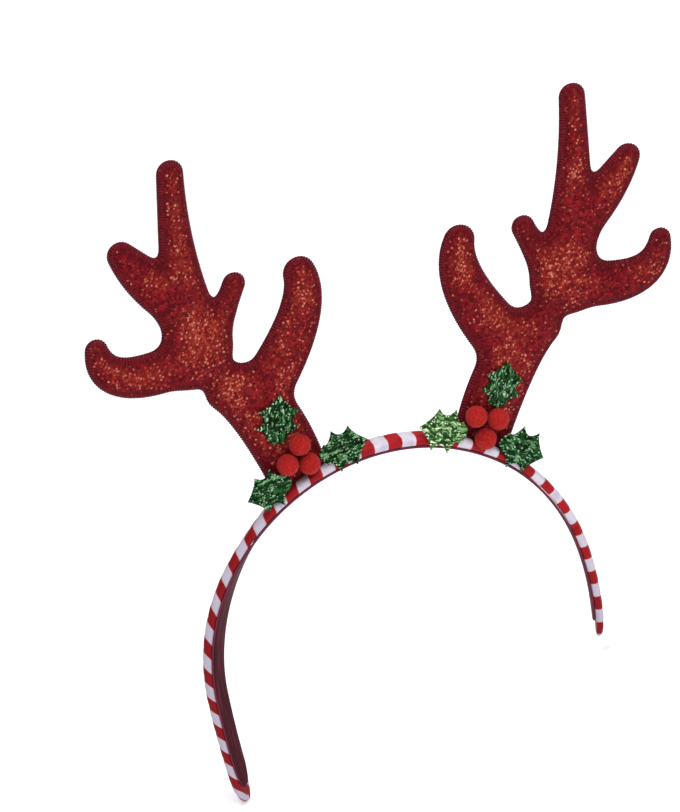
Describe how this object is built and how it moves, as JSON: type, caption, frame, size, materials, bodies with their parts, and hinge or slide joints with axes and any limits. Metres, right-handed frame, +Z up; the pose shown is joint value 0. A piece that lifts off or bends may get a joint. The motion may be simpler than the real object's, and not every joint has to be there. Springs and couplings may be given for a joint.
{
  "type": "reindeer antler headband",
  "caption": "Curved headband wound in red and white ribbon, carrying flat padded glitter reindeer antlers with holly leaves and felt berries at their feet.",
  "frame": {"origin": "where the band's lining sits on the crown of the head", "axes": "+Z up out of the head, -Y towards the viewer of the front, +X to the viewer's right"},
  "size_m": [0.2199, 0.0175, 0.2452],
  "materials": {
    "glitter": "red glitter fabric over padding",
    "ribbon": "satin ribbon, red and white turns",
    "lining": "wine velvet",
    "holly": "green tinsel fabric",
    "felt": "matt red felt"
  },
  "bodies": {
    "root": {"striped_cover": "ribbon", "band_lining": "lining", "antler_left": "glitter", "antler_right": "glitter", "holly_leaf_left_antler": "holly", "holly_leaf_left_inner": "holly", "holly_leaf_left_outer": "holly", "holly_leaf_right_antler": "holly", "holly_leaf_right_inner": "holly", "holly_leaf_right_outer": "holly", "berry_left_top": "felt", "berry_left_outer": "felt", "berry_left_inner": "felt", "berry_right_top": "felt", "berry_right_outer": "felt", "berry_right_inner": "felt"}
  },
  "joints": []
}
